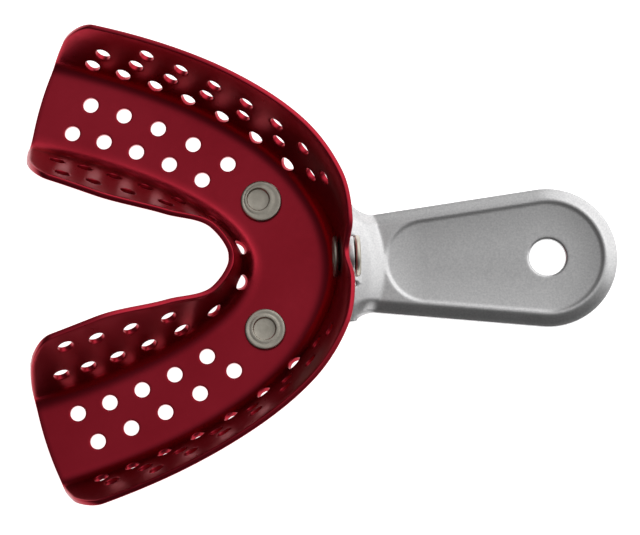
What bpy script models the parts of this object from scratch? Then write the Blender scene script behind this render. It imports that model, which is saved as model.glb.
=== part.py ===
"""Perforated lower impression tray: a pressed horseshoe tray, its riveted handle and three rivets.

Lengths below are millimetres and are turned into metres when a mesh is made. The tray is laid out
on its own frame first: X runs to the handle, Y across, Z up from the floor of the channel, with
the two floor rivets on the line X = 0. At the end everything moves so that the origin lies at the
bottom centre of the whole object.
"""

import math
from collections import namedtuple

import bmesh
import bpy
from mathutils import Matrix, Vector

MM = 0.001
CLEARANCE = 0.2

# Plan of the channel: the arch is half of an ellipse y^2 = 2 R u - K u^2, with u = ARCH_FRONT - x.
ARCH_FRONT = 4.7
ARCH_RADIUS = 12.0
ARCH_FLATTENING = 0.11
ARM_LENGTH = 54.1

# The pressed sheet.
SHEET = 1.0
INNER_FILLET = 3.2
OUTER_HEEL_RADIUS = 4.6
INNER_HEEL_RADIUS = 5.5
HEEL_START = 38.0
HEEL_SWEEP = 0.0085
HEEL_MIDDLE = -2.0
FLARE_START = 0.68
NOTCH_DEPTH = 1.8
NOTCH_HALF_WIDTH = 4.8

# Cross-sections along one arm. "along" is the distance from the front along the arch. Floor and
# rim values are distances from the arch, outwards or inwards, and heights are above the floor.
# "flare" is how far the outer flange's upper part bends outwards by its rim.
Section = namedtuple(
    "Section", "along floor_out floor_in rim_out rim_in height_out height_in fillet flare"
)
SECTIONS = (
    Section(0.0, 4.8, 4.8, 9.9, 9.3, 13.8, 10.2, 3.4, 1.3),
    Section(7.0, 5.0, 4.7, 12.0, 9.1, 15.4, 10.4, 3.0, 0.8),
    Section(14.0, 5.5, 4.5, 12.8, 8.9, 15.8, 10.8, 2.8, 0.4),
    Section(24.0, 5.9, 4.5, 13.0, 11.6, 15.2, 12.8, 2.7, 0.3),
    Section(38.0, 6.2, 4.5, 13.3, 13.8, 13.0, 16.3, 2.7, 0.3),
    Section(ARM_LENGTH, 6.3, 4.5, 13.5, 13.3, 10.0, 17.3, 2.7, 0.3),
)

# Rows of holes: "first" and "last" are distances along the arch, and "start" and "end" are the
# place across the floor, or the height up a flange, at the two ends of the row. "crowding" draws
# the holes together towards the heel.
Row = namedtuple("Row", "wall first last count start end crowding diameter")
HOLE_ROWS = (
    Row("floor", 20.5, 45.7, 5, 2.1, 2.8, 0.09, 2.6),
    Row("floor", 22.9, 47.4, 5, -2.5, -2.8, 0.07, 2.6),
    Row("outer", 13.1, 46.9, 7, 1.6, 2.3, 0.16, 2.6),
    Row("outer", 9.6, 45.3, 7, 5.7, 5.8, 0.17, 2.6),
    Row("outer", 7.9, 38.2, 7, 10.1, 9.5, -0.02, 2.6),
    Row("inner", 6.9, 47.7, 7, 1.6, 5.8, 0.23, 2.7),
    Row("inner", 25.4, 45.0, 4, 8.7, 13.1, 0.16, 2.7),
)
HOLE_SIDES = 10
ROW_SAMPLES = 200
CUTTER_HALF_LENGTH = 1.6
FILLET_STEPS = 4
OUTER_STEPS = (0.35, 0.6, 0.8, 1.0)
INNER_STEPS = (0.5, 1.0)
FRONT_STATIONS = (0.0, 1.6, 3.2, 4.8, 6.4, 8.2, 10.2, 12.4, 14.8, 17.5)
ARM_STATION_STEP = 4.0
HEEL_STATIONS = 7

# Rivets.
SHANK_RADIUS = 2.4
SHANK_CLEARANCE = 0.15
TRAY_CUTTER_HALF_LENGTH = 3.0
HANDLE_CUTTER_HALF_LENGTH = 6.0
HEAD_RADIUS = 3.5
HEAD_THICKNESS = 0.9
ROLLED_THICKNESS = 0.7
RECESS_RADIUS = 1.9
RECESS_DEPTH = 0.6
FLOOR_RIVET_Y = 11.05
FRONT_RIVET_HEIGHT = 6.3
ROUND_SIDES = 24

# The handle.
PLATE = 1.2
NECK_X = 15.2
SHOULDER_X = 18.7
SHOULDER_HALF_WIDTH = 8.5
SHOULDER_FLARE = 0.13
END_CENTRE_X = 48.55
END_RADIUS = 12.0
HANG_HOLE_RADIUS = 3.05
RIM_WIDTH = 2.2
RIM_SLOPE = 0.65
RIM_CREST = 0.25
RIM_START_X = 12.0
RIM_FULL_X = 19.0
RECESS_MARGIN = 2.3
RECESS_WALL = 0.5
RECESS_STEP = 0.2
DISH_WIDTH = 6.5
DISH_DEPTH = 0.5
THUMB_REST_X = 28.0
NECK_FOOT_X = 10.6
NECK_RISE = 2.6
NECK_LEAN = 2.0
STEP_START_X = 18.2
STEP_END_X = 20.8
STEP_BACKSET = 2.0
INSETS = (0.0, 0.5, 1.1, 1.6, 1.95, 2.2, 2.35, 2.55, 2.8, 3.2)
EAR_HALF_WIDTH = 4.7
EAR_INNER_EDGE = 4.3
TONGUE_HALF_WIDTH = 3.4
TONGUE_BEND = 1.0
TONGUE_MARGIN = 3.6
ROUND_END_TURNS = [math.radians(11.5 * step) for step in range(1, 8)]


def smooth_curve(stations, values, at):
    """A smooth curve through the values, which never overshoots them."""
    slopes = [(b - a) / (s - r) for a, b, r, s in zip(values, values[1:], stations, stations[1:])]
    ends = [0.0]
    for before, after in zip(slopes, slopes[1:]):
        turn = before * after
        ends.append(2 * turn / (before + after) if turn > 0 else 0.0)
    ends.append(slopes[-1])
    at = min(max(at, stations[0]), stations[-1])
    index = max(i for i in range(len(slopes)) if stations[i] <= at)
    step = stations[index + 1] - stations[index]
    t = (at - stations[index]) / step
    start, finish = values[index], values[index + 1]
    rise = start * (1 + 2 * t) * (1 - t) ** 2 + finish * t * t * (3 - 2 * t)
    return rise + step * t * (1 - t) * ((1 - t) * ends[index] - t * ends[index + 1])


def smooth_step(low, high, at):
    t = min(max((at - low) / (high - low), 0.0), 1.0)
    return t * t * (3 - 2 * t)


class Arch:
    """The centre line of the channel, walked from the front along the arm at positive Y."""

    def __init__(self):
        self.steps = [(0.0, ARCH_FRONT, 0.0)]
        depth, along = 0.0, 0.0
        while along < ARM_LENGTH + 1:
            depth += 0.01 + 0.02 * depth / ARCH_RADIUS
            x = ARCH_FRONT - depth
            y = math.sqrt(2 * ARCH_RADIUS * depth - ARCH_FLATTENING * depth * depth)
            along += math.hypot(x - self.steps[-1][1], y - self.steps[-1][2])
            self.steps.append((along, x, y))

    def at(self, along):
        """(point, outward direction) in plan, at a distance along the arm."""
        low, high = 0, len(self.steps) - 1
        while high - low > 1:
            middle = (low + high) // 2
            low, high = (middle, high) if self.steps[middle][0] <= along else (low, middle)
        (a, xa, ya), (b, xb, yb) = self.steps[low], self.steps[high]
        t = (along - a) / (b - a)
        x, y = xa + t * (xb - xa), ya + t * (yb - ya)
        outward = Vector((ARCH_RADIUS - ARCH_FLATTENING * (ARCH_FRONT - x), y)).normalized()
        return Vector((x, y)), outward


ARCH = Arch()


def section_at(along):
    stations = [section.along for section in SECTIONS]
    return Section(*(smooth_curve(stations, column, along) for column in zip(*SECTIONS)))


def flange_at(along, wall):
    """(floor edge, rim, height, fillet, flare) of one wall."""
    section = section_at(along)
    if wall == "outer":
        return section.floor_out, section.rim_out, section.height_out, section.fillet, section.flare
    return section.floor_in, section.rim_in, section.height_in, INNER_FILLET, 0.0


def flange_line(floor_edge, rim, height, fillet, flare):
    """(place and height where the flange leaves its fillet, its lean from upright)."""
    across, up = rim - flare - floor_edge, height - fillet
    lean = math.atan2(across, up) - math.asin(fillet / math.hypot(across, up))
    return floor_edge + fillet * math.cos(lean), fillet * (1 - math.sin(lean)), lean


def flange_point(along, wall, up):
    """(across, turn) of a wall's channel side at a height: its turn is its angle from level."""
    floor_edge, rim, height, fillet, flare = flange_at(along, wall)
    foot, foot_height, lean = flange_line(floor_edge, rim, height, fillet, flare)
    if up < foot_height:
        turn = math.acos(1 - up / fillet)
        return floor_edge + fillet * math.sin(turn), turn
    share = min(max((up / height - FLARE_START) / (1 - FLARE_START), 0.0), 1.0)
    slope = math.tan(lean) + 2 * flare * share / (height * (1 - FLARE_START))
    across = foot + (up - foot_height) * math.tan(lean) + flare * share * share
    return across, math.pi / 2 - math.atan(slope)


def heel_drop(station, radius):
    """How far the rim comes down where it rounds into the open end of the arm."""
    left = max(ARM_LENGTH - station, 0.0)
    if left >= radius:
        return 0.0
    return radius - math.sqrt(radius * radius - (radius - left) ** 2)


def notch_drop(along, rim):
    """How far the outer rim dips at the midline, to clear the lip's frenum."""
    point, outward = ARCH.at(along)
    across = point.y + rim * outward.y
    if across > NOTCH_HALF_WIDTH:
        return 0.0
    return NOTCH_DEPTH * 0.5 * (1 + math.cos(math.pi * across / NOTCH_HALF_WIDTH))


def flange_profile(along, station, wall):
    """Points (across, up, turn) of one wall's channel side, from the floor's edge to the rim."""
    floor_edge, rim, height, fillet, flare = flange_at(along, wall)
    foot, foot_height, lean = flange_line(floor_edge, rim, height, fillet, flare)
    if wall == "outer":
        top = height - heel_drop(station, OUTER_HEEL_RADIUS) - notch_drop(along, rim)
    else:
        top = height - heel_drop(station, INNER_HEEL_RADIUS)
    points = []
    for step in range(FILLET_STEPS + 1):
        turn = (math.pi / 2 - lean) * step / FILLET_STEPS
        points.append((floor_edge + fillet * math.sin(turn), fillet * (1 - math.cos(turn)), turn))
    for share in OUTER_STEPS if wall == "outer" else INNER_STEPS:
        up = foot_height + (top - foot_height) * share
        across, turn = flange_point(along, wall, up)
        points.append((across, up, turn))
    return points


def sheet_profile(along, station):
    """Points (across, up, turn) of the channel side, from the inner rim to the outer rim."""
    outer = flange_profile(along, station, "outer")
    inner = flange_profile(along, station, "inner")
    return [(-across, up, -turn) for across, up, turn in inner[::-1]] + [(0.0, 0.0, 0.0)] + outer


def distances_over(profile):
    """Distance over the sheet from the floor's middle to each point, negative on the inner side."""
    over = [0.0]
    for (a, up, _), (b, next_up, _) in zip(profile, profile[1:]):
        over.append(over[-1] + math.hypot(b - a, next_up - up))
    middle = over[[across for across, up, turn in profile].index(0.0)]
    return [distance - middle for distance in over]


def tray_ring(station, side):
    """A closed ring round the sheet. Rings near the heel bow, so that the arm's end is rounded."""
    bow = min(max((station - HEEL_START) / (ARM_LENGTH - HEEL_START), 0.0), 1.0) ** 2
    upper, lower = [], []
    for index, over in enumerate(distances_over(sheet_profile(station, station))):
        along = station - HEEL_SWEEP * bow * (over - HEEL_MIDDLE) ** 2
        across, up, turn = sheet_profile(along, station)[index]
        upper.append(place(along, across, up, side))
        below = across + SHEET * math.sin(turn)
        lower.append(place(along, below, up - SHEET * math.cos(turn), side))
    return upper + lower[::-1]


def arm_stations():
    """Distances along one arm, closer together at the front and round the heel."""
    heel_start = ARM_LENGTH - INNER_HEEL_RADIUS
    count = int((heel_start - FRONT_STATIONS[-1]) / ARM_STATION_STEP)
    step = (heel_start - FRONT_STATIONS[-1]) / (count + 1)
    middle = [FRONT_STATIONS[-1] + step * (i + 1) for i in range(count)]
    turns = [math.pi / 2 * i / HEEL_STATIONS for i in range(HEEL_STATIONS + 1)]
    heel = [heel_start + INNER_HEEL_RADIUS * math.sin(turn) for turn in turns]
    return list(FRONT_STATIONS) + middle + heel


def place(along, across, up, side):
    point, outward = ARCH.at(along)
    return Vector((point.x + across * outward.x, side * (point.y + across * outward.y), up))


def new_object(name, mesh_builder, material):
    mesh = bpy.data.meshes.new(name)
    mesh_builder.to_mesh(mesh)
    mesh_builder.free()
    mesh.transform(Matrix.Scale(MM, 4))
    mesh.shade_smooth()
    mesh.set_sharp_from_angle(angle=math.radians(35))
    if material:
        mesh.materials.append(material)
    built = bpy.data.objects.new(name, mesh)
    bpy.context.scene.collection.objects.link(built)
    return built


def swept_solid(rings):
    """A solid through rings of points, with a flat cap on its first and last ring."""
    builder = bmesh.new()
    loops = [[builder.verts.new(point) for point in ring] for ring in rings]
    for before, after in zip(loops, loops[1:]):
        for i in range(len(before)):
            j = (i + 1) % len(before)
            builder.faces.new((before[i], before[j], after[j], after[i]))
    builder.faces.new(loops[0])
    builder.faces.new(loops[-1])
    bmesh.ops.recalc_face_normals(builder, faces=builder.faces)
    return builder


def add_cylinder(builder, centre, axis, radius, half_length, sides):
    turn = Vector((0, 0, 1)).rotation_difference(axis).to_matrix().to_4x4()
    bmesh.ops.create_cone(
        builder,
        cap_ends=True,
        segments=sides,
        radius1=radius,
        radius2=radius,
        depth=2 * half_length,
        matrix=Matrix.Translation(centre) @ turn,
    )


def cut_away(target, cutter):
    cutter.hide_render = True
    cutter.display_type = "WIRE"
    modifier = target.modifiers.new(cutter.name, "BOOLEAN")
    modifier.operation = "DIFFERENCE"
    modifier.solver = "EXACT"
    modifier.object = cutter


def surface_point(along, row, amount):
    """(across, up, turn) of the sheet's upper face, at the row's place across or up."""
    value = row.start + (row.end - row.start) * amount
    if row.wall == "floor":
        return value, 0.0, 0.0
    across, turn = flange_point(along, row.wall, value)
    sign = 1 if row.wall == "outer" else -1
    return sign * across, value, sign * turn


def row_stations(row):
    """Distances along the arch of the row's holes, spaced along the row itself."""
    shares = [i / ROW_SAMPLES for i in range(ROW_SAMPLES + 1)]
    samples = [row.first + (row.last - row.first) * share for share in shares]
    points = [place(s, *surface_point(s, row, a)[:2], 1) for s, a in zip(samples, shares)]
    travelled = [0.0]
    for before, after in zip(points, points[1:]):
        travelled.append(travelled[-1] + (after - before).length)
    stations = []
    for hole in range(row.count):
        share = hole / (row.count - 1)
        wanted = travelled[-1] * (share + row.crowding * share * (1 - share))
        index = min(range(len(samples)), key=lambda i: abs(travelled[i] - wanted))
        stations.append(samples[index])
    return stations


def hole_cutters():
    builder = bmesh.new()
    for row in HOLE_ROWS:
        for along in row_stations(row):
            amount = (along - row.first) / (row.last - row.first)
            across, up, turn = surface_point(along, row, amount)
            outward = ARCH.at(along)[1]
            for side in (1, -1):
                axis = Vector(
                    (
                        -math.sin(turn) * outward.x,
                        -math.sin(turn) * outward.y * side,
                        math.cos(turn),
                    )
                )
                centre = place(along, across, up, side) - axis * SHEET / 2
                radius = row.diameter / 2
                add_cylinder(builder, centre, axis, radius, CUTTER_HALF_LENGTH, HOLE_SIDES)
    return builder


def front_wall():
    """(point on the channel side of the front flange at the rivet, unit normal into the channel)."""
    across, turn = flange_point(0.0, "outer", FRONT_RIVET_HEIGHT)
    point = Vector((ARCH_FRONT + across, 0, FRONT_RIVET_HEIGHT))
    return point, Vector((-math.sin(turn), 0, math.cos(turn)))


def rivet_hole_cutters(half_length):
    builder = bmesh.new()
    radius = SHANK_RADIUS + SHANK_CLEARANCE
    for side in (1, -1):
        centre = Vector((0, side * FLOOR_RIVET_Y, 0))
        add_cylinder(builder, centre, Vector((0, 0, 1)), radius, half_length, ROUND_SIDES)
    point, normal = front_wall()
    add_cylinder(builder, point, normal, radius, half_length, ROUND_SIDES)
    return builder


def tray_body(material):
    stations = arm_stations()
    left = [tray_ring(station, 1) for station in reversed(stations)]
    right = [tray_ring(station, -1) for station in stations[1:]]
    tray = new_object("tray_body", swept_solid(left + right), material)
    cut_away(tray, new_object("cutter_perforations", hole_cutters(), None))
    cutters = rivet_hole_cutters(TRAY_CUTTER_HALF_LENGTH)
    cut_away(tray, new_object("cutter_tray_rivets", cutters, None))
    return tray


def taper_end():
    """Where the handle's straight side runs into its round end."""
    back = SHOULDER_X - END_CENTRE_X
    reach = math.hypot(back, SHOULDER_HALF_WIDTH)
    turn = math.atan2(SHOULDER_HALF_WIDTH, back) - math.acos(END_RADIUS / reach)
    return END_CENTRE_X + END_RADIUS * math.cos(turn), END_RADIUS * math.sin(turn)


def plate_half_width(x):
    """Half the handle's width: a flared neck, straight tapering sides and a round end."""
    if x < SHOULDER_X:
        return SHOULDER_HALF_WIDTH + SHOULDER_FLARE * (SHOULDER_X - x) ** 2
    end_x, end_y = taper_end()
    if x > end_x:
        return math.sqrt(END_RADIUS**2 - (x - END_CENTRE_X) ** 2)
    t = (x - SHOULDER_X) / (end_x - SHOULDER_X)
    return SHOULDER_HALF_WIDTH + (end_y - SHOULDER_HALF_WIDTH) * t


def plate_level():
    """Height of the handle's flat upper face, which lies under the tray's floor."""
    return -SHEET - CLEARANCE


def rim_drop(edge_distance):
    """How far the rim is turned down, from its crest out to its edge."""
    into = RIM_SLOPE * min(max(RIM_WIDTH - edge_distance, 0.0), RIM_WIDTH)
    return math.hypot(into, RIM_CREST) - RIM_CREST


def shelf_level():
    """Height of the rim's crest, which sets the rim's lower edge level with the rivets' heads."""
    return rim_drop(0.0) - SHEET - 2 * CLEARANCE - HEAD_THICKNESS


def neck_height(x, y):
    """Height of the neck above the ears' level. It falls to the handle along a bowed step."""
    bowed_x = x + STEP_BACKSET * (y / SHOULDER_HALF_WIDTH) ** 2
    lean = min(max((bowed_x - NECK_X) / (STEP_END_X - NECK_X), 0.0), 1.0)
    rise = NECK_RISE * smooth_step(NECK_FOOT_X, NECK_X, x) - NECK_LEAN * lean
    drop = plate_level() + NECK_RISE - NECK_LEAN - shelf_level()
    return rise - drop * smooth_step(STEP_START_X, STEP_END_X, bowed_x)


def inside_recess(x, y, edge_distance):
    """Distance inside the recess's outline: along the handle's sides, with a round end by the neck."""
    end_x, end_y = taper_end()
    along = (x - THUMB_REST_X) * (end_x - SHOULDER_X) + abs(y) * (end_y - SHOULDER_HALF_WIDTH)
    if along > 0:
        return edge_distance - RECESS_MARGIN
    radius = plate_half_width(THUMB_REST_X) - RECESS_MARGIN
    return radius - math.hypot(x - THUMB_REST_X, y)


def plate_height(x, y, edge_distance):
    """Height of the upper face: neck, turned-down rim and the thumb rest's shallow dished recess."""
    level = plate_level() + neck_height(x, y)
    rim = rim_drop(edge_distance) * smooth_step(RIM_START_X, RIM_FULL_X, x)
    inside = inside_recess(x, y, edge_distance)
    recess = RECESS_STEP * smooth_step(0.0, RECESS_WALL, inside)
    dish = DISH_DEPTH * (1 - (1 - min(max(inside / DISH_WIDTH, 0.0), 1.0)) ** 2)
    return level - rim - recess - dish


def insets(length):
    """Distances from the edge to the middle: over the rim, then the ear's and tongue's lines."""
    lines = (EAR_INNER_EDGE, TONGUE_HALF_WIDTH, TONGUE_HALF_WIDTH / 2, 0.0)
    share = (length - INSETS[-1]) / (plate_half_width(NECK_X) - INSETS[-1])
    return list(INSETS) + [length - line * share for line in lines]


def row_between(edge, middle):
    """One row of the upper face, from a point on the edge to one on the middle line or the hole."""
    length = (middle - edge).length
    row = []
    for inset in insets(length):
        point = edge.lerp(middle, inset / length)
        row.append(Vector((point.x, point.y, plate_height(point.x, point.y, inset))))
    return row


def hang_hole_point(turn):
    x = END_CENTRE_X + HANG_HOLE_RADIUS * math.cos(turn)
    return Vector((x, HANG_HOLE_RADIUS * math.sin(turn)))


def plate_rows():
    """Rows from the neck to the tip. Past the thumb rest's middle they fan round the hole."""
    hole_start = END_CENTRE_X - HANG_HOLE_RADIUS
    places = [NECK_X + (THUMB_REST_X - NECK_X) * step / 15 for step in range(15)]
    places += [THUMB_REST_X + (hole_start - THUMB_REST_X) * step / 6 for step in range(7)]
    rows = [row_between(Vector((x, plate_half_width(x))), Vector((x, 0))) for x in places]
    for step in range(1, 5):
        x = hole_start + HANG_HOLE_RADIUS * step / 4
        turn = math.pi - math.pi / 2 * step / 4
        rows.append(row_between(Vector((x, plate_half_width(x))), hang_hole_point(turn)))
    for step in range(1, 11):
        turn = math.pi / 2 * (1 - step / 10)
        x = END_CENTRE_X + END_RADIUS * math.cos(turn)
        edge = Vector((x, END_RADIUS * math.sin(turn)))
        rows.append(row_between(edge, hang_hole_point(turn)))
    return rows


def ear_rows(neck_row):
    """Rows from the neck back under the floor to the round end beyond the rivet."""
    outer, inner = neck_row[0], neck_row[len(INSETS)]
    shares = [(p.y - inner.y) / (outer.y - inner.y) for p in neck_row[: len(INSETS) + 1]]
    start = Vector((NECK_X, (outer.y + inner.y) / 2))
    rivet = Vector((0, FLOOR_RIVET_Y))
    bend = Vector((start.x * 0.6, start.y + (rivet.y - start.y) * 0.2))
    start_half = (outer.y - inner.y) / 2
    rows = []
    for step in range(1, 9):
        t = step / 8
        centre = start * (1 - t) ** 2 + bend * (2 * t * (1 - t)) + rivet * t * t
        way = ((bend - start) * (1 - t) + (rivet - bend) * t).normalized()
        half = start_half + (EAR_HALF_WIDTH - start_half) * smooth_step(0, 1, t)
        rows.append((centre, way, half))
    for turn in ROUND_END_TURNS:
        half = EAR_HALF_WIDTH * math.cos(turn)
        rows.append((rivet + way * EAR_HALF_WIDTH * math.sin(turn), way, half))
    built = []
    for centre, way, half in rows:
        across = Vector((way.y, -way.x))
        points = [centre + across * half * (2 * share - 1) for share in shares]
        edge_x, edge_y = points[0]
        built.append(
            [
                Vector((p.x, p.y, plate_height(p.x, p.y, math.hypot(p.x - edge_x, p.y - edge_y))))
                for p in points
            ]
        )
    return built


def tongue_rows(neck_row):
    """Rows of the middle tongue, bent up against the front flange: (points, way through the sheet)."""
    point, normal = front_wall()
    outward = -normal
    along = Vector((normal.z, 0, -normal.x))
    face = point + outward * (SHEET + CLEARANCE + PLATE)
    centre_z = plate_level() + neck_height(NECK_X, 0.0) + TONGUE_BEND
    travel = (centre_z + TONGUE_BEND * normal.z - face.z) / along.z
    centre = face + along * travel + outward * TONGUE_BEND
    widths = [p.y for p in neck_row[len(INSETS) + 1 :]]
    lean = math.asin(normal.z)
    rows = []
    for step in range(6):
        turn = (math.pi / 2 + lean) * step / 5
        way = Vector((-math.sin(turn), 0, -math.cos(turn)))
        rows.append((centre + way * TONGUE_BEND, way, 1.0))
    first = centre - outward * TONGUE_BEND
    length = (face - first).length
    for step in range(1, 4):
        rows.append((first + along * length * step / 3, -outward, 1.0))
    for turn in ROUND_END_TURNS:
        top = face + along * TONGUE_MARGIN * math.sin(turn)
        rows.append((top, -outward, math.cos(turn)))
    built = []
    for middle, way, share in rows:
        built.append(([Vector((middle.x, y * share, middle.z)) for y in widths], way))
    return built


class SheetBuilder:
    """Collects a sheet's upper face as quads, on both sides of the midline, and gives it thickness."""

    def __init__(self):
        self.builder = bmesh.new()
        self.found = {}
        self.quads = []

    def vertex(self, point, through):
        key = tuple(round(value, 4) for value in point)
        if key not in self.found:
            upper = self.builder.verts.new(point)
            lower = self.builder.verts.new(point + through * PLATE)
            self.found[key] = (upper, lower)
        return self.found[key]

    def add_patch(self, rows):
        """Adds rows of (points, way through the sheet), at positive Y, and their mirror image."""
        for side in (1, -1):
            grid = [
                [self.vertex(Vector((p.x, p.y * side, p.z)), way) for p in points]
                for points, way in rows
            ]
            for before, after in zip(grid, grid[1:]):
                for i in range(len(before) - 1):
                    corners = (before[i], before[i + 1], after[i + 1], after[i])
                    self.quads.append(corners if side > 0 else corners[::-1])

    def finish(self):
        edges = {}
        for quad in self.quads:
            self.builder.faces.new([upper for upper, lower in quad])
            self.builder.faces.new([lower for upper, lower in reversed(quad)])
            for start, end in zip(quad, quad[1:] + quad[:1]):
                edges[(start, end)] = True
        for start, end in edges:
            if (end, start) not in edges:
                self.builder.faces.new((end[0], start[0], start[1], end[1]))
        bmesh.ops.recalc_face_normals(self.builder, faces=self.builder.faces)
        return self.builder


def handle(material):
    down = Vector((0, 0, -1))
    plate = plate_rows()
    neck = plate[0]
    ears = [neck[: len(INSETS) + 1]] + ear_rows(neck)
    tongue = [(neck[len(INSETS) + 1 :], down)] + tongue_rows(neck)
    sheet = SheetBuilder()
    sheet.add_patch([(row, down) for row in plate])
    sheet.add_patch([(row, down) for row in reversed(ears)])
    sheet.add_patch(tongue[::-1])
    pressed = new_object("handle", sheet.finish(), material)
    cutters = rivet_hole_cutters(HANDLE_CUTTER_HALF_LENGTH)
    cut_away(pressed, new_object("cutter_handle_rivets", cutters, None))
    return pressed


def turned(name, profile, material):
    """A solid turned about Z from (radius, height) points, which start and end on the axis."""
    builder = bmesh.new()
    rings = []
    for radius, height in profile:
        if radius == 0:
            rings.append([builder.verts.new((0, 0, height))] * ROUND_SIDES)
            continue
        ring = []
        for side in range(ROUND_SIDES):
            turn = 2 * math.pi * (side + 0.5) / ROUND_SIDES
            ring.append((radius * math.cos(turn), radius * math.sin(turn), height))
        rings.append([builder.verts.new(point) for point in ring])
    for before, after in zip(rings, rings[1:]):
        for i in range(ROUND_SIDES):
            j = (i + 1) % ROUND_SIDES
            corners = dict.fromkeys((before[i], before[j], after[j], after[i]))
            builder.faces.new(list(corners))
    bmesh.ops.recalc_face_normals(builder, faces=builder.faces)
    return new_object(name, builder, material)


def rivet(name, seat, grip, material):
    """A semi-tubular rivet. Its rolled end sits "seat" above Z = 0 and its head "grip" below it."""
    top = seat + ROLLED_THICKNESS
    bottom = -grip - HEAD_THICKNESS
    profile = (
        (0, bottom),
        (HEAD_RADIUS * 0.72, bottom),
        (HEAD_RADIUS * 0.93, bottom + HEAD_THICKNESS * 0.3),
        (HEAD_RADIUS, bottom + HEAD_THICKNESS * 0.65),
        (HEAD_RADIUS, -grip),
        (SHANK_RADIUS, -grip),
        (SHANK_RADIUS, seat),
        (HEAD_RADIUS, seat),
        (HEAD_RADIUS, top - ROLLED_THICKNESS * 0.4),
        (HEAD_RADIUS * 0.93, top),
        (RECESS_RADIUS + 0.15, top),
        (RECESS_RADIUS, top - 0.2),
        (RECESS_RADIUS, top - RECESS_DEPTH),
        (0, top - RECESS_DEPTH),
    )
    return turned(name, profile, material)


def rivets(material):
    grip = SHEET + PLATE + 2 * CLEARANCE
    for side, name in ((1, "rivet_left"), (-1, "rivet_right")):
        floor_rivet = rivet(name, CLEARANCE, grip, material)
        floor_rivet.location = Vector((0, side * FLOOR_RIVET_Y, 0)) * MM
    point, normal = front_wall()
    hollow = HEAD_RADIUS**2 / (2 * (ARCH_RADIUS + point.x - ARCH_FRONT))
    front_rivet = rivet("rivet_front", CLEARANCE + hollow, grip, material)
    front_rivet.location = point * MM
    front_rivet.rotation_euler = (0, -math.acos(normal.z), 0)


def material(name, colour, roughness):
    made = bpy.data.materials.new(name)
    made.use_nodes = True
    shader = made.node_tree.nodes["Principled BSDF"]
    shader.inputs["Base Color"].default_value = (*colour, 1)
    shader.inputs["Metallic"].default_value = 1
    shader.inputs["Roughness"].default_value = roughness
    return made


def stand_on_origin():
    """Moves every piece so that the origin is at the bottom centre of the whole object."""
    bpy.context.view_layer.update()
    pieces = [o for o in bpy.data.objects if not o.hide_render]
    corners = [o.matrix_world @ v.co for o in pieces for v in o.data.vertices]
    low = Vector([min(c[axis] for c in corners) for axis in range(3)])
    high = Vector([max(c[axis] for c in corners) for axis in range(3)])
    shift = Vector(((low.x + high.x) / 2, (low.y + high.y) / 2, low.z))
    for moved in bpy.data.objects:
        moved.location -= shift


def main():
    for existing in list(bpy.data.objects):
        bpy.data.objects.remove(existing)
    tray_body(material("red_anodised_aluminium", (0.20, 0.01, 0.018), 0.3))
    handle(material("satin_aluminium", (0.62, 0.62, 0.63), 0.35))
    rivets(material("rivet_aluminium", (0.45, 0.44, 0.40), 0.4))
    stand_on_origin()


main()
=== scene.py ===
"""Looks of a perforated lower impression tray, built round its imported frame.

Lengths are millimetres in the tray's own layout: X runs to the handle, Y across, Z up from the
channel's floor, with the two floor rivets on the line X = 0. to_frame() turns them into the
frame's metres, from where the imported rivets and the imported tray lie.
"""

import math

import bmesh
import bpy
import numpy as np
from mathutils import Matrix, Vector
from mathutils.geometry import delaunay_2d_cdt


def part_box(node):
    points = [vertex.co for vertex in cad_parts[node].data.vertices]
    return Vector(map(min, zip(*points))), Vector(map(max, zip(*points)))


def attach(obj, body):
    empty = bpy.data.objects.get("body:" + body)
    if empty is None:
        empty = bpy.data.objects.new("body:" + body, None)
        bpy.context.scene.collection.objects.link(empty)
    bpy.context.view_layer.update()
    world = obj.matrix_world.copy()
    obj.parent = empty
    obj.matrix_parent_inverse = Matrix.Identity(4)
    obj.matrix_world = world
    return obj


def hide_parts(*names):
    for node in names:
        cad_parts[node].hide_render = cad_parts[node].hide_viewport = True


MM = 0.001

# Plan of the channel: the arch is half of an ellipse y^2 = 2 R u - K u^2, with u = ARCH_FRONT - x.
ARCH_FRONT = 4.7
ARCH_RADIUS = 12.0
ARCH_FLATTENING = 0.11
ARM_LENGTH = 54.1

SHEET = 1.0
INNER_FILLET = 3.2
OUTER_HEEL_RADIUS = 4.6
INNER_HEEL_RADIUS = 5.5
HEEL_START = 38.0
HEEL_SWEEP = 0.0085
HEEL_MIDDLE = -2.0
FLARE_START = 0.68
NOTCH_DEPTH = 1.8
NOTCH_HALF_WIDTH = 4.8
RIM_ROUNDING = 0.26
HOLE_ROUNDING = 0.14

# Cross-sections along one arm: distance along the arch, floor edges and rims measured outwards
# and inwards from the arch, the rims' heights above the floor, and the outer wall's fillet and
# outward flare.
SECTION_ALONG = (0.0, 7.0, 14.0, 24.0, 38.0, ARM_LENGTH)
FLOOR_OUT = (4.8, 5.0, 5.5, 5.9, 6.2, 6.3)
FLOOR_IN = (4.8, 4.7, 4.5, 4.5, 4.5, 4.5)
OUTER_FILLET = (3.4, 3.0, 2.8, 2.7, 2.7, 2.7)
OUTER_FLARE = (1.3, 0.8, 0.4, 0.3, 0.3, 0.3)
RIM_OUT = (9.9, 12.0, 12.8, 13.0, 13.3, 13.5)
RIM_IN = (9.3, 9.1, 8.9, 11.6, 13.8, 13.3)
HEIGHT_OUT = (13.8, 15.4, 15.8, 15.2, 13.0, 10.0)
HEIGHT_IN = (10.2, 10.4, 10.8, 12.8, 16.3, 17.3)

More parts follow.
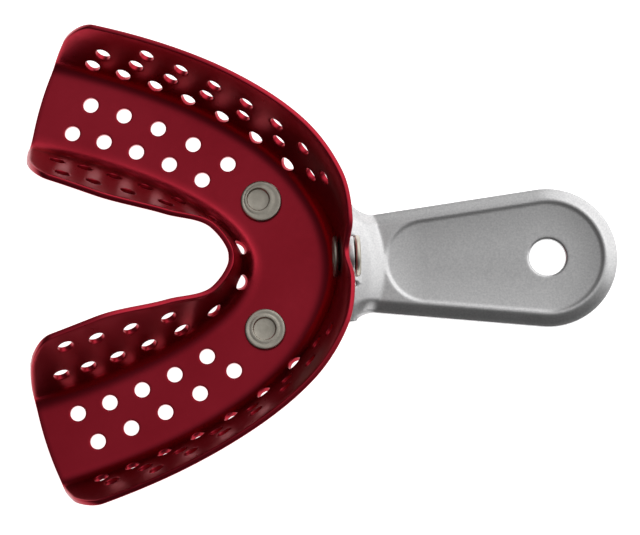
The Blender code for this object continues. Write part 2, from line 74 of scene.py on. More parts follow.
# Rows of holes: wall, first and last distance along the arch, count, place across the floor or
# height up the flange at the row's two ends, how far the holes draw together towards the heel,
# and diameter.
HOLE_ROWS = (
    ("floor", 20.5, 45.7, 5, 2.1, 2.8, 0.09, 2.6),
    ("floor", 22.9, 47.4, 5, -2.5, -2.8, 0.07, 2.6),
    ("outer", 13.1, 46.9, 7, 1.6, 2.3, 0.16, 2.6),
    ("outer", 9.6, 45.3, 7, 5.7, 5.8, 0.17, 2.6),
    ("outer", 7.9, 38.2, 7, 10.1, 9.5, -0.02, 2.6),
    ("inner", 6.9, 47.7, 7, 1.6, 5.8, 0.23, 2.7),
    ("inner", 25.4, 45.0, 4, 8.7, 13.1, 0.16, 2.7),
)

FLOOR_RIVET_Y = 11.05
FRONT_RIVET_HEIGHT = 6.3
RIVET_HOLE_RADIUS = 2.5
SHANK_RADIUS = 2.4
HEAD_RADIUS = 3.5
HEAD_THICKNESS = 0.9
ROLLED_THICKNESS = 0.7
RECESS_RADIUS = 1.9
RECESS_DEPTH = 0.6
RIVET_SEAT = 0.12
HEAD_CORNER = 0.55
HEAD_CROWN = 0.05
ROLLED_CORNER = 0.3
ROLLED_BACKSET = 0.12
LIP_CORNER = 0.14
RECESS_CORNER = 0.15
RECESS_FLAT = 0.9
# Radius and height of a head's face above its lowest point, and of a rolled end's shallow groove
# above its top.
HEAD_FACE = ((0.0, 0.0), (1.6, 0.0), (2.4, 0.03))
GROOVE = ((2.95, 0.02), (2.72, -0.05), (2.5, -0.03), (2.3, 0.03))

PLATE = 1.2
PLATE_GAP = 0.2
NECK_X = 15.2
SHOULDER_X = 18.7
SHOULDER_HALF_WIDTH = 8.5
SHOULDER_FLARE = 0.13
END_CENTRE_X = 48.55
END_RADIUS = 12.0
HANG_HOLE_RADIUS = 3.05
RIM_WIDTH = 2.2
RIM_SLOPE = 0.65
RIM_CREST = 0.25
RIM_START_X = 12.0
RIM_FULL_X = 19.0
RECESS_MARGIN = 2.3
RECESS_WALL = 0.5
RECESS_STEP = 0.2
DISH_WIDTH = 6.5
DISH_DEPTH = 0.5
THUMB_REST_X = 28.0
NECK_FOOT_X = 10.6
NECK_RISE = 2.6
NECK_LEAN = 2.0
STEP_START_X = 18.2
STEP_END_X = 20.8
STEP_BACKSET = 2.0
EAR_HALF_WIDTH = 4.7
EAR_INNER_EDGE = 4.3
TONGUE_HALF_WIDTH = 3.4
TONGUE_BEND = 1.0
TONGUE_MARGIN = 3.6
PLATE_ROUNDING = 0.3
HANG_HOLE_ROUNDING = 0.55
# The middle line of an ear bends at these shares of the way, in X and Y, to its rivet.
EAR_BEND_X = 0.6
EAR_BEND_Y = 0.2

# Samples of the arch, which is tabulated to this depth behind the front.
ARCH_SAMPLES = 4000
ARCH_DEPTH = 60.0
ROW_SAMPLES = 201

# Spacing of the meshes' points, their distance from edges, and the points round each hole.
SPACING = 0.5
ARM_SPACING = 0.8
FRONT_LENGTH = 14.0
HEEL_CLEARANCE = 0.6
EDGE_CLEARANCE = 0.3
CORNER_POINTS = 24
HALO = 0.35
HALO_SIDES = 28
HOLE_SIDES = 40
ROUND_STEPS = 4
PLATE_SPACING = 0.36
PLATE_ROW_SHARE = 0.87
PLATE_CLEARANCE = 0.2
PLATE_EDGE_SPACING = 0.3
PLATE_HOLE_SIDES = 64
PLATE_HALF_WIDTH = 17.0
PLATE_BACK_MARGIN = 5.0
TIP_POINTS = 50
SIDE_POINTS = 60
FLARE_POINTS = 8
EAR_POINTS = 40
SLOT_POINTS = 9
TONGUE_POINTS = 20
TOP_POINTS = 16
RIVET_SIDES = 72


# ---- shared shapes -------------------------------------------------------------------------


def smooth_curve(stations, values, at):
    """A smooth curve through the values, which never overshoots them. Works on arrays."""
    stations, values = np.array(stations, float), np.array(values, float)
    steps = np.diff(stations)
    slopes = np.diff(values) / steps
    ends = np.zeros(len(values))
    ends[-1] = slopes[-1]
    turns = slopes[:-1] * slopes[1:]
    sums = np.where(np.abs(slopes[:-1] + slopes[1:]) < 1e-9, 1.0, slopes[:-1] + slopes[1:])
    ends[1:-1] = np.where(turns > 0, 2 * turns / sums, 0.0)
    at = np.clip(at, stations[0], stations[-1])
    index = np.clip(np.searchsorted(stations, at, side="right") - 1, 0, len(steps) - 1)
    step = steps[index]
    t = (at - stations[index]) / step
    start, finish = values[index], values[index + 1]
    rise = start * (1 + 2 * t) * (1 - t) ** 2 + finish * t * t * (3 - 2 * t)
    return rise + step * t * (1 - t) * ((1 - t) * ends[index] - t * ends[index + 1])


def smooth_step(low, high, at):
    t = np.clip((at - low) / (high - low), 0.0, 1.0)
    return t * t * (3 - 2 * t)


def make_arch():
    """Tables of distance along the arm, X and Y."""
    depth = np.linspace(0.0, 1.0, ARCH_SAMPLES) ** 2 * ARCH_DEPTH
    x = ARCH_FRONT - depth
    y = np.sqrt(2 * ARCH_RADIUS * depth - ARCH_FLATTENING * depth**2)
    along = np.concatenate([[0.0], np.cumsum(np.hypot(np.diff(x), np.diff(y)))])
    return along, x, y


ARCH = make_arch()


def arch_at(along):
    """X, Y and the outward direction of the arch, at signed distances along it."""
    x = np.interp(np.abs(along), ARCH[0], ARCH[1])
    y = np.interp(np.abs(along), ARCH[0], ARCH[2])
    out_x = ARCH_RADIUS - ARCH_FLATTENING * (ARCH_FRONT - x)
    length = np.hypot(out_x, y)
    side = np.where(along < 0, -1.0, 1.0)
    return x, side * y, out_x / length, side * y / length


def flange_shape(along, outer):
    """Per point: floor edge, fillet, flange's foot, its height, its lean, flare, rim and height."""
    at = np.abs(along)
    edge = smooth_curve(SECTION_ALONG, FLOOR_OUT if outer else FLOOR_IN, at)
    rim = smooth_curve(SECTION_ALONG, RIM_OUT if outer else RIM_IN, at)
    height = smooth_curve(SECTION_ALONG, HEIGHT_OUT if outer else HEIGHT_IN, at)
    fillet, flare = INNER_FILLET + 0 * at, 0 * at
    if outer:
        fillet = smooth_curve(SECTION_ALONG, OUTER_FILLET, at)
        flare = smooth_curve(SECTION_ALONG, OUTER_FLARE, at)
    across, up = rim - flare - edge, height - fillet
    lean = np.arctan2(across, up) - np.arcsin(fillet / np.hypot(across, up))
    foot = edge + fillet * np.cos(lean)
    foot_height = fillet * (1 - np.sin(lean))
    return edge, fillet, foot, foot_height, lean, flare, rim, height


def rim_reach(along, station, outer):
    """Distance over the sheet from the floor's middle to the rim."""
    edge, fillet, foot, foot_height, lean, flare, rim, height = flange_shape(along, outer)
    radius = OUTER_HEEL_RADIUS if outer else INNER_HEEL_RADIUS
    into = np.clip(radius - (ARM_LENGTH - np.abs(station)), 0.0, radius)
    top = height - (radius - np.sqrt(radius**2 - into**2))
    if outer:
        x, y, out_x, out_y = arch_at(along)
        from_middle = np.abs(y + rim * out_y)
        dip = NOTCH_DEPTH * 0.5 * (1 + np.cos(np.pi * from_middle / NOTCH_HALF_WIDTH))
        top = top - np.where(from_middle < NOTCH_HALF_WIDTH, dip, 0.0)
    return edge + fillet * (np.pi / 2 - lean) + (top - foot_height) / np.cos(lean)


def bowed(station, over):
    """Distance along the arch of a point on a line that bows near the heel, which rounds the end."""
    bow = np.clip((np.abs(station) - HEEL_START) / (ARM_LENGTH - HEEL_START), 0.0, 1.0) ** 2
    return station - np.sign(station) * HEEL_SWEEP * bow * (over - HEEL_MIDDLE) ** 2


def tray_surface(along, over):
    """Points and normals of the channel's upper face, at signed distances along and over it."""
    along, over = np.asarray(along, float), np.asarray(over, float)
    outer, inner = flange_shape(along, True), flange_shape(along, False)
    edge, fillet, foot, foot_height, lean, flare, rim, height = (
        np.where(over > 0, a, b) for a, b in zip(outer, inner)
    )
    reach = np.abs(over)
    arc = fillet * (np.pi / 2 - lean)
    turn = np.clip((reach - edge) / fillet, 0.0, np.pi / 2 - lean)
    beyond = np.clip(reach - edge - arc, 0.0, None)
    up = fillet * (1 - np.cos(turn)) + beyond * np.cos(lean)
    share = np.clip((up / height - FLARE_START) / (1 - FLARE_START), 0.0, 1.0)
    across = np.minimum(reach, edge) + fillet * np.sin(turn) + beyond * np.sin(lean)
    across = across + flare * share**2
    slope = np.tan(lean) + 2 * flare * share / (height * (1 - FLARE_START))
    turn = np.where(beyond > 0, np.pi / 2 - np.arctan(slope), turn)
    side = np.where(over < 0, -1.0, 1.0)
    x, y, out_x, out_y = arch_at(along)
    points = np.stack([x + side * across * out_x, y + side * across * out_y, up], axis=-1)
    tilt = -side * np.sin(turn)
    normals = np.stack([tilt * out_x, tilt * out_y, np.cos(turn)], axis=-1)
    return points, normals


def over_at_height(along, height, wall):
    """Distance over the sheet to a place on a wall: its height, or its place across the floor."""
    if wall == "floor":
        return height
    edge, fillet, foot, foot_height, lean, *_ = flange_shape(along, wall == "outer")
    if height < foot_height:
        reach = edge + fillet * math.acos(1 - height / fillet)
    else:
        reach = edge + fillet * (math.pi / 2 - lean) + (height - foot_height) / math.cos(lean)
    return reach if wall == "outer" else -reach


def hole_places():
    """(along, over, radius) of each perforation, evenly spaced along its own row."""
    places = []
    for wall, first, last, count, start, end, crowding, diameter in HOLE_ROWS:
        along = np.linspace(first, last, ROW_SAMPLES)
        heights = np.linspace(start, end, ROW_SAMPLES)
        over = np.array([over_at_height(a, h, wall) for a, h in zip(along, heights)])
        points, normals = tray_surface(along, over)
        travelled = np.concatenate([[0], np.cumsum(np.linalg.norm(np.diff(points, axis=0), axis=1))])
        share = np.linspace(0, 1, count)
        for distance in travelled[-1] * (share + crowding * share * (1 - share)):
            a = float(np.interp(distance, travelled, along))
            o = float(np.interp(distance, travelled, over))
            places += [(a, o, diameter / 2), (-a, o, diameter / 2)]
    return places


# ---- sheets with rounded edges -------------------------------------------------------------


def ring(centre, radius, stretch, count):
    """A closed loop round a centre in the flat pattern, widened along the first axis."""
    turns = np.arange(count) * 2 * np.pi / count
    return np.stack(
        [centre[0] + stretch * radius * np.cos(turns), centre[1] + radius * np.sin(turns)], axis=1
    )


def distance_to_loop(points, loop):
    """Each point's distance to a closed loop, in the flat pattern."""
    best = np.full(len(points), np.inf)
    for start, end in zip(loop, np.roll(loop, -1, axis=0)):
        way = end - start
        share = np.clip(((points - start) @ way) / max(way @ way, 1e-12), 0, 1)
        gap = points - (start + share[:, None] * way)
        best = np.minimum(best, np.hypot(gap[:, 0], gap[:, 1]))
    return best


def inside_loop(points, loop):
    """Which points lie inside a closed loop."""
    inside = np.zeros(len(points), bool)
    for (ax, ay), (bx, by) in zip(loop, np.roll(loop, -1, axis=0)):
        crosses = (ay > points[:, 1]) != (by > points[:, 1])
        run = (bx - ax) * (points[:, 1] - ay) / (by - ay if by != ay else 1e-12) + ax
        inside ^= crosses & (points[:, 0] < run)
    return inside


def triangulate(outline, holes, fill):
    """Triangles of the flat region inside the outline and outside the holes."""
    points = [outline] + holes + [fill]
    edges, start = [], 0
    for loop in [outline] + holes:
        count = len(loop)
        edges += [(start + i, start + (i + 1) % count) for i in range(count)]
        start += count
    flat = [Vector(p) for p in np.concatenate(points)]
    coords, _, faces, _, _, _ = delaunay_2d_cdt(flat, edges, [], 1, 1e-7)
    coords = np.array([tuple(c) for c in coords])
    faces = np.array([tuple(f) for f in faces])
    middles = coords[faces].mean(axis=1)
    keep = np.ones(len(faces), bool)
    for hole in holes:
        near = np.abs(middles - hole.mean(axis=0)).max(axis=1) < np.ptp(hole, axis=0).max()
        keep[near] &= ~inside_loop(middles[near], hole)
    return coords, faces[keep]


def edge_rows(upper, lower, through, index, radius, sign, total, count):
    """Rows of vertices that round a loop's edge from the upper face to the lower face."""
    top, bottom, down = upper[index], lower[index], through[index]
    way = np.roll(top, -1, axis=0) - np.roll(top, 1, axis=0)
    side = np.cross(way, down) * sign
    side /= np.linalg.norm(side, axis=1)[:, None]
    turns = np.linspace(0, np.pi / 2, ROUND_STEPS + 1)[1:]
    strip = []
    for turn in turns:
        strip.append(top + side * radius * math.sin(turn) + down * radius * (1 - math.cos(turn)))
    for turn in turns[::-1]:
        strip.append(bottom + side * radius * math.sin(turn) - down * radius * (1 - math.cos(turn)))
    rows = [index]
    for number in range(len(strip)):
        rows.append(np.arange(len(index)) + total + number * len(index))
    rows.append(index + count)
    return rows, np.concatenate(strip)


def loop_area(loop):
    """A closed loop's signed area."""
    x, y = loop[:, 0], loop[:, 1]
    return 0.5 * float(np.sum(x * np.roll(y, -1) - y * np.roll(x, -1)))


def rounded_sheet(name, surface, thickness, outline, holes, fill, rounding, hole_roundings):
    """A sheet's mesh from its flat pattern, with every edge rounded."""
    coords, faces = triangulate(outline, holes, fill)
    upper, through = surface(coords[:, 0], coords[:, 1])
    lower = upper + through * thickness
    count = len(coords)
    corners = upper[faces]
    facing = np.cross(corners[:, 1] - corners[:, 0], corners[:, 2] - corners[:, 0])
    turned_over = np.sign(np.einsum("ij,ij->", facing, through[faces[:, 0]]))
    vertices = [upper, lower]
    triangles = [faces, faces[:, ::-1] + count]
    quads = []
    total, start = 2 * count, 0
    for number, loop in enumerate([outline] + holes):
        index = np.arange(start, start + len(loop))
        start += len(loop)
        sign = turned_over * np.sign(loop_area(loop)) * (1 if number == 0 else -1)
        radius = rounding if number == 0 else hole_roundings[number - 1]
        rows, strip = edge_rows(upper, lower, through, index, radius, sign, total, count)
        total += len(strip)
        vertices.append(strip)
        for before, after in zip(rows, rows[1:]):
            quads.append(np.stack([before, np.roll(before, -1), np.roll(after, -1), after], axis=1))
    faces = np.concatenate(triangles).tolist() + np.concatenate(quads).tolist()
    return mesh_object(name, np.concatenate(vertices), faces)


def mesh_object(name, vertices, faces):
    """A smooth-shaded closed mesh, given in millimetres of the tray's own layout."""
    builder = bmesh.new()
    points = [builder.verts.new(to_frame(v)) for v in vertices]
    for face in faces:
        builder.faces.new([points[i] for i in face])
    bmesh.ops.recalc_face_normals(builder, faces=builder.faces)
    mesh = bpy.data.meshes.new(name)
    builder.to_mesh(mesh)
    builder.free()
    mesh.shade_smooth()
    made = bpy.data.objects.new(name, mesh)
    bpy.context.scene.collection.objects.link(made)
    return made


# ---- the tray ------------------------------------------------------------------------------


def along_lines():
    """Distances along one arm at which the sheet is sampled, closer together at the front."""
    front = np.arange(0.0, FRONT_LENGTH, SPACING)
    arm = np.arange(FRONT_LENGTH, ARM_LENGTH - HEEL_CLEARANCE, ARM_SPACING)
    half = np.concatenate([front, arm])
    return np.concatenate([-half[:0:-1], half])


def rim_line(outer):
    """Distances along the arch for one rim, from heel to heel, following the rounded corners."""
    radius = OUTER_HEEL_RADIUS if outer else INNER_HEEL_RADIUS
    end = ARM_LENGTH - RIM_ROUNDING
    corner = end - radius * (1 - np.sin(np.linspace(0, np.pi / 2, CORNER_POINTS)))
    half = np.concatenate([np.arange(0.0, end - radius - EDGE_CLEARANCE, SPACING), corner])
    return np.concatenate([-half[:0:-1], half])


def rim_loop(along, outer):
    """The rim in the flat pattern, drawn in by its rounding."""
    station = along * (ARM_LENGTH / (ARM_LENGTH - RIM_ROUNDING)) ** (np.abs(along) > HEEL_START)
    station = np.clip(station, -ARM_LENGTH, ARM_LENGTH)
    sign = 1 if outer else -1
    reach = rim_reach(along, station, outer)
    place = bowed(along, sign * reach)
    reach = rim_reach(place, station, outer) - RIM_ROUNDING
    return np.stack([place, sign * reach], axis=1)


def heel_line(top, bottom, along):
    """The open end of an arm in the flat pattern, between its two rims."""
    steps = np.linspace(top, bottom, int(abs(top - bottom) / SPACING) + 1)[1:-1]
    return np.stack([bowed(np.full(len(steps), along), steps), steps], axis=1)


def tray_outline():
    """The sheet's edge in the flat pattern, all round."""
    outer = rim_loop(rim_line(True), True)
    inner = rim_loop(rim_line(False), False)[::-1]
    end = ARM_LENGTH - RIM_ROUNDING
    right = heel_line(outer[-1][1], inner[0][1], end)
    left = heel_line(inner[-1][1], outer[0][1], -end)
    return np.concatenate([outer, right, inner, left])


def tray_stretch(along, over):
    """How much shorter a step along the arch is there than on the sheet."""
    reach = 0.05
    ends, _ = tray_surface(np.array([along - reach, along + reach]), np.array([over, over]))
    return 2 * reach / float(np.linalg.norm(ends[1] - ends[0]))


def tray_fill(outline, rings):
    """Points inside the sheet, clear of its edges and of the rings round its holes."""
    lines = along_lines()
    low, high = -rim_reach(lines, lines, False), rim_reach(lines, lines, True)
    points = []
    for along, bottom, top in zip(lines, low, high):
        over = np.linspace(bottom, top, int((top - bottom) / SPACING))
        points.append(np.stack([bowed(np.full(len(over), along), over), over], axis=1))
    points = np.concatenate(points)
    points = points[inside_loop(points, outline)]
    points = points[distance_to_loop(points, outline) > EDGE_CLEARANCE]
    for centre, radius, stretch in rings:
        away = (points - centre) / (stretch, 1.0)
        points = points[np.hypot(away[:, 0], away[:, 1]) > radius + EDGE_CLEARANCE]
    return points


def tray_holes():
    """(centre, radius, stretch) of every hole through the sheet, rivet holes included."""
    holes = [((a, o), r) for a, o, r in hole_places()]
    step = rivet_step()
    holes += [((step[0], step[1]), RIVET_HOLE_RADIUS), ((-step[0], step[1]), RIVET_HOLE_RADIUS)]
    holes.append(((0.0, over_at_height(0.0, FRONT_RIVET_HEIGHT, "outer")), RIVET_HOLE_RADIUS))
    return [(np.array(centre), radius, tray_stretch(*centre)) for centre, radius in holes]


def rivet_step():
    """(along, over) of the floor rivet at positive Y, which lies on the line X = 0."""
    along = np.linspace(8, 16, 801)
    x, y, out_x, out_y = arch_at(along)
    gap_x, gap_y = -x, FLOOR_RIVET_Y - y
    sideways = np.abs(gap_x * out_y - gap_y * out_x)
    best = int(sideways.argmin())
    return float(along[best]), float(gap_x[best] * out_x[best] + gap_y[best] * out_y[best])


def tray_body():
    """The pressed and perforated sheet."""
    outline = tray_outline()
    holes = tray_holes()
    loops = [ring(c, r + HOLE_ROUNDING, s, HOLE_SIDES) for c, r, s in holes]
    rings = [(c, r + HOLE_ROUNDING + HALO, s) for c, r, s in holes]
    halos = [ring(c, r, s, HALO_SIDES) for c, r, s in rings]
    fill = np.concatenate([tray_fill(outline, rings)] + halos)

    def surface(along, over):
        points, normals = tray_surface(along, over)
        return points, -normals

    return rounded_sheet(
        "tray_sheet", surface, SHEET, outline, loops, fill, RIM_ROUNDING, [HOLE_ROUNDING] * len(holes)
    )


# ---- the handle ----------------------------------------------------------------------------


def front_wall():
    """(point on the channel side of the front flange at the rivet, unit normal into the channel)."""
    return tray_surface(0.0, over_at_height(0.0, FRONT_RIVET_HEIGHT, "outer"))


def taper_end():
    """Where the handle's straight side runs into its round end."""
    back = SHOULDER_X - END_CENTRE_X
    turn = math.atan2(SHOULDER_HALF_WIDTH, back)
    turn -= math.acos(END_RADIUS / math.hypot(back, SHOULDER_HALF_WIDTH))
    return turn, END_CENTRE_X + END_RADIUS * math.cos(turn), END_RADIUS * math.sin(turn)


TAPER_TURN, TAPER_X, TAPER_Y = taper_end()
LEVEL = -SHEET - PLATE_GAP


def edge_distance(x, y):
    """Distance from a point on the handle to its outer edge."""
    y = np.abs(y)
    side_x, side_y = TAPER_X - SHOULDER_X, TAPER_Y - SHOULDER_HALF_WIDTH
    length = math.hypot(side_x, side_y)
    from_side = ((x - SHOULDER_X) * side_y - (y - SHOULDER_HALF_WIDTH) * side_x) / length
    from_end = END_RADIUS - np.hypot(x - END_CENTRE_X, y)
    past_side = (x - END_CENTRE_X) * math.sin(TAPER_TURN) - y * math.cos(TAPER_TURN) > 0
    flare = SHOULDER_HALF_WIDTH + SHOULDER_FLARE * (SHOULDER_X - x) ** 2
    slope = 2 * SHOULDER_FLARE * (SHOULDER_X - x)
    from_flare = (flare - y) / np.sqrt(1 + slope**2)
    distance = np.where(past_side, from_end, from_side)
    return np.where(x < SHOULDER_X, from_flare, distance)


def rim_drop(edge):
    """How far the rim is turned down, from its crest out to its edge."""
    into = RIM_SLOPE * np.clip(RIM_WIDTH - edge, 0.0, RIM_WIDTH)
    return np.hypot(into, RIM_CREST) - RIM_CREST


def neck_height(x, y):
    """Height of the neck above the ears' level. It falls to the handle along a bowed step."""
    bowed_x = x + STEP_BACKSET * (y / SHOULDER_HALF_WIDTH) ** 2
    lean = np.clip((bowed_x - NECK_X) / (STEP_END_X - NECK_X), 0.0, 1.0)
    rise = NECK_RISE * smooth_step(NECK_FOOT_X, NECK_X, x) - NECK_LEAN * lean
    shelf = rim_drop(0.0) - SHEET - 2 * PLATE_GAP - HEAD_THICKNESS
    drop = LEVEL + NECK_RISE - NECK_LEAN - shelf
    return rise - drop * smooth_step(STEP_START_X, STEP_END_X, bowed_x)


def inside_recess(x, y, edge):
    """Distance inside the recess's outline: along the handle's sides, with a round end by the neck."""
    side_x, side_y = TAPER_X - SHOULDER_X, TAPER_Y - SHOULDER_HALF_WIDTH
    along = (x - THUMB_REST_X) * side_x + np.abs(y) * side_y
    radius = edge_distance(np.array(THUMB_REST_X), np.array(0.0)) - RECESS_MARGIN
    round_end = radius - np.hypot(x - THUMB_REST_X, y)
    return np.where(along > 0, edge - RECESS_MARGIN, round_end)


def plate_height(x, y):
    """Height of the upper face: neck, turned-down rim and the thumb rest's shallow dished recess."""
    edge = np.clip(edge_distance(x, y), 0.0, None)
    on_tongue = np.abs(y) < (TONGUE_HALF_WIDTH + EAR_INNER_EDGE) / 2
    level = LEVEL + neck_height(np.where(on_tongue, np.maximum(x, NECK_X), x), y)
    rim = rim_drop(edge) * smooth_step(RIM_START_X, RIM_FULL_X, x)
    inside = inside_recess(x, y, edge)
    recess = RECESS_STEP * smooth_step(0.0, RECESS_WALL, inside)
    dish = DISH_DEPTH * (1 - (1 - np.clip(inside / DISH_WIDTH, 0.0, 1.0)) ** 2)
    return level - rim - recess - dish


def tongue_path():
    """The tongue: (centre of its bend, start of its straight face, way along it, its length)."""
    point, normal = front_wall()
    outward = -normal
    along = np.array([normal[2], 0.0, -normal[0]])
    face = point + outward * (SHEET + PLATE_GAP + PLATE)
    level = LEVEL + neck_height(NECK_X, 0.0)
    travel = (level + TONGUE_BEND * (1 + normal[2]) - face[2]) / along[2]
    start = face + along * travel
    return start + outward * TONGUE_BEND, start, along, np.linalg.norm(face - start)


def tongue_turn():
    """The angle that the tongue bends up through."""
    return math.pi / 2 + math.asin(front_wall()[1][2])


def tongue_rivet_x():
    """Where the tongue's rivet hole lies in the flat pattern."""
    centre, start, along, rise = tongue_path()
    return centre[0] - TONGUE_BEND * tongue_turn() - rise


def handle_surface(x, y):
    """Points of the upper face and the way through the plate, from the flat pattern."""
    centre, start, along, rise = tongue_path()
    turn_end = tongue_turn()
    arc = TONGUE_BEND * turn_end
    points = np.stack([x, y, plate_height(x, y)], axis=1)
    through = np.tile([0.0, 0.0, -1.0], (len(x), 1))
    on_tongue = (np.abs(y) < (TONGUE_HALF_WIDTH + EAR_INNER_EDGE) / 2) & (x < centre[0])
    back = np.clip(centre[0] - x, 0.0, None)
    turn = np.clip(back / TONGUE_BEND, 0.0, turn_end)
    beyond = np.clip(back - arc, 0.0, None)
    way = np.stack([-np.sin(turn), 0 * turn, -np.cos(turn)], axis=1)
    bent = centre + TONGUE_BEND * way + beyond[:, None] * along
    bent[:, 1] = y
    points[on_tongue] = bent[on_tongue]
    through[on_tongue] = way[on_tongue]
    return points, through


def ear_edges():
    """Points of the ear's outer edge, its round end and its inner edge, at positive Y."""
    outer_y = SHOULDER_HALF_WIDTH + SHOULDER_FLARE * (SHOULDER_X - NECK_X) ** 2
    start = np.array([NECK_X, (outer_y + EAR_INNER_EDGE) / 2])
    rivet = np.array([0.0, FLOOR_RIVET_Y])
    bend = np.array([start[0] * EAR_BEND_X, start[1] + (rivet[1] - start[1]) * EAR_BEND_Y])
    t = np.linspace(0, 1, EAR_POINTS)[:, None]
    centre = start * (1 - t) ** 2 + bend * (2 * t * (1 - t)) + rivet * t * t
    way = (bend - start) * (1 - t) + (rivet - bend) * t
    way /= np.linalg.norm(way, axis=1)[:, None]
    across = np.stack([way[:, 1], -way[:, 0]], axis=1)
    start_half = (outer_y - EAR_INNER_EDGE) / 2
    half = start_half + (EAR_HALF_WIDTH - start_half) * smooth_step(0, 1, t)
    turns = np.linspace(0, np.pi, EAR_POINTS)[1:-1, None]
    end = rivet + EAR_HALF_WIDTH * (np.cos(turns) * across[-1] + np.sin(turns) * way[-1])
    return centre + across * half, end, (centre - across * half)[::-1]


def half_outline():
    """The flat pattern's edge at positive Y, from the tip to the end of the tongue."""
    turns = np.linspace(0, TAPER_TURN, TIP_POINTS)[:, None]
    tip = np.concatenate([np.cos(turns), np.sin(turns)], axis=1) * END_RADIUS + (END_CENTRE_X, 0)
    shares = np.linspace(0, 1, SIDE_POINTS)[1:, None]
    side = (TAPER_X, TAPER_Y) + shares * (SHOULDER_X - TAPER_X, SHOULDER_HALF_WIDTH - TAPER_Y)
    flare_x = np.linspace(SHOULDER_X, NECK_X, FLARE_POINTS)[1:-1]
    flare_y = SHOULDER_HALF_WIDTH + SHOULDER_FLARE * (SHOULDER_X - flare_x) ** 2
    outer, end, inner = ear_edges()
    slot_turns = np.linspace(np.pi / 2, -np.pi / 2, SLOT_POINTS)[1:-1]
    slot_half = (EAR_INNER_EDGE - TONGUE_HALF_WIDTH) / 2
    slot_x = NECK_X + slot_half * np.cos(slot_turns)
    slot_y = (EAR_INNER_EDGE + TONGUE_HALF_WIDTH) / 2 + slot_half * np.sin(slot_turns)
    rivet_x = tongue_rivet_x()
    tongue_x = np.linspace(NECK_X, rivet_x, TONGUE_POINTS)
    tongue = np.stack([tongue_x, np.full(TONGUE_POINTS, TONGUE_HALF_WIDTH)], axis=1)
    turns = np.linspace(np.pi / 2, 0, TOP_POINTS)[1:, None]
    top = np.concatenate([-TONGUE_MARGIN * np.cos(turns), TONGUE_HALF_WIDTH * np.sin(turns)], axis=1)
    flare = np.stack([flare_x, flare_y], axis=1)
    slot = np.stack([slot_x, slot_y], axis=1)
    return np.concatenate([tip, side, flare, outer, end, inner, slot, tongue, top + (rivet_x, 0)])


def even_loop(points, spacing):
    """A closed line sampled again at an even spacing."""
    closed = np.concatenate([points, points[:1]])
    travelled = np.concatenate([[0], np.cumsum(np.linalg.norm(np.diff(closed, axis=0), axis=1))])
    wanted = np.linspace(0, travelled[-1], int(travelled[-1] / spacing) + 1)[:-1]
    return np.stack([np.interp(wanted, travelled, closed[:, axis]) for axis in (0, 1)], axis=1)


def drawn_in(loop, distance):
    """A closed loop, counter-clockwise, moved inwards."""
    way = np.roll(loop, -2, axis=0) - np.roll(loop, 2, axis=0)
    way /= np.linalg.norm(way, axis=1)[:, None]
    return loop + distance * np.stack([-way[:, 1], way[:, 0]], axis=1)


def handle():
    """The pressed plate with its ears, tongue and hanging hole."""
    half = half_outline()
    mirrored = (half * (1, -1))[-2:0:-1]
    edge = even_loop(np.concatenate([half, mirrored]), PLATE_EDGE_SPACING)
    outline = drawn_in(edge, PLATE_ROUNDING)
    rivet_x = tongue_rivet_x()
    holes = [
        (np.array([END_CENTRE_X, 0.0]), HANG_HOLE_RADIUS, HANG_HOLE_ROUNDING),
        (np.array([0.0, FLOOR_RIVET_Y]), RIVET_HOLE_RADIUS, PLATE_ROUNDING),
        (np.array([0.0, -FLOOR_RIVET_Y]), RIVET_HOLE_RADIUS, PLATE_ROUNDING),
        (np.array([rivet_x, 0.0]), RIVET_HOLE_RADIUS, PLATE_ROUNDING),
    ]
    loops = [ring(c, r + rounding, 1.0, PLATE_HOLE_SIDES) for c, r, rounding in holes]
    columns = np.arange(rivet_x - PLATE_BACK_MARGIN, END_CENTRE_X + END_RADIUS, PLATE_SPACING)
    lines = np.arange(-PLATE_HALF_WIDTH, PLATE_HALF_WIDTH, PLATE_SPACING * PLATE_ROW_SHARE)
    grid_x, grid_y = np.meshgrid(columns, lines)
    grid_x[1::2] += PLATE_SPACING / 2
    fill = np.stack([grid_x.ravel(), grid_y.ravel()], axis=1)
    fill = fill[inside_loop(fill, outline)]
    fill = fill[distance_to_loop(fill, outline) > PLATE_CLEARANCE]
    for c, r, rounding in holes:
        fill = fill[np.hypot(*(fill - c).T) > r + rounding + PLATE_CLEARANCE]
    roundings = [rounding for c, r, rounding in holes]
    return rounded_sheet(
        "handle_plate", handle_surface, PLATE, outline, loops, fill, PLATE_ROUNDING, roundings
    )


# ---- the rivets ----------------------------------------------------------------------------

def arc_points(centre_r, centre_z, radius, start, end, steps=5):
    """Points of a profile's round corner: (radius, height), with turns in degrees."""
    turns = np.radians(np.linspace(start, end, steps + 1))
    return [(centre_r + radius * math.cos(t), centre_z + radius * math.sin(t)) for t in turns]


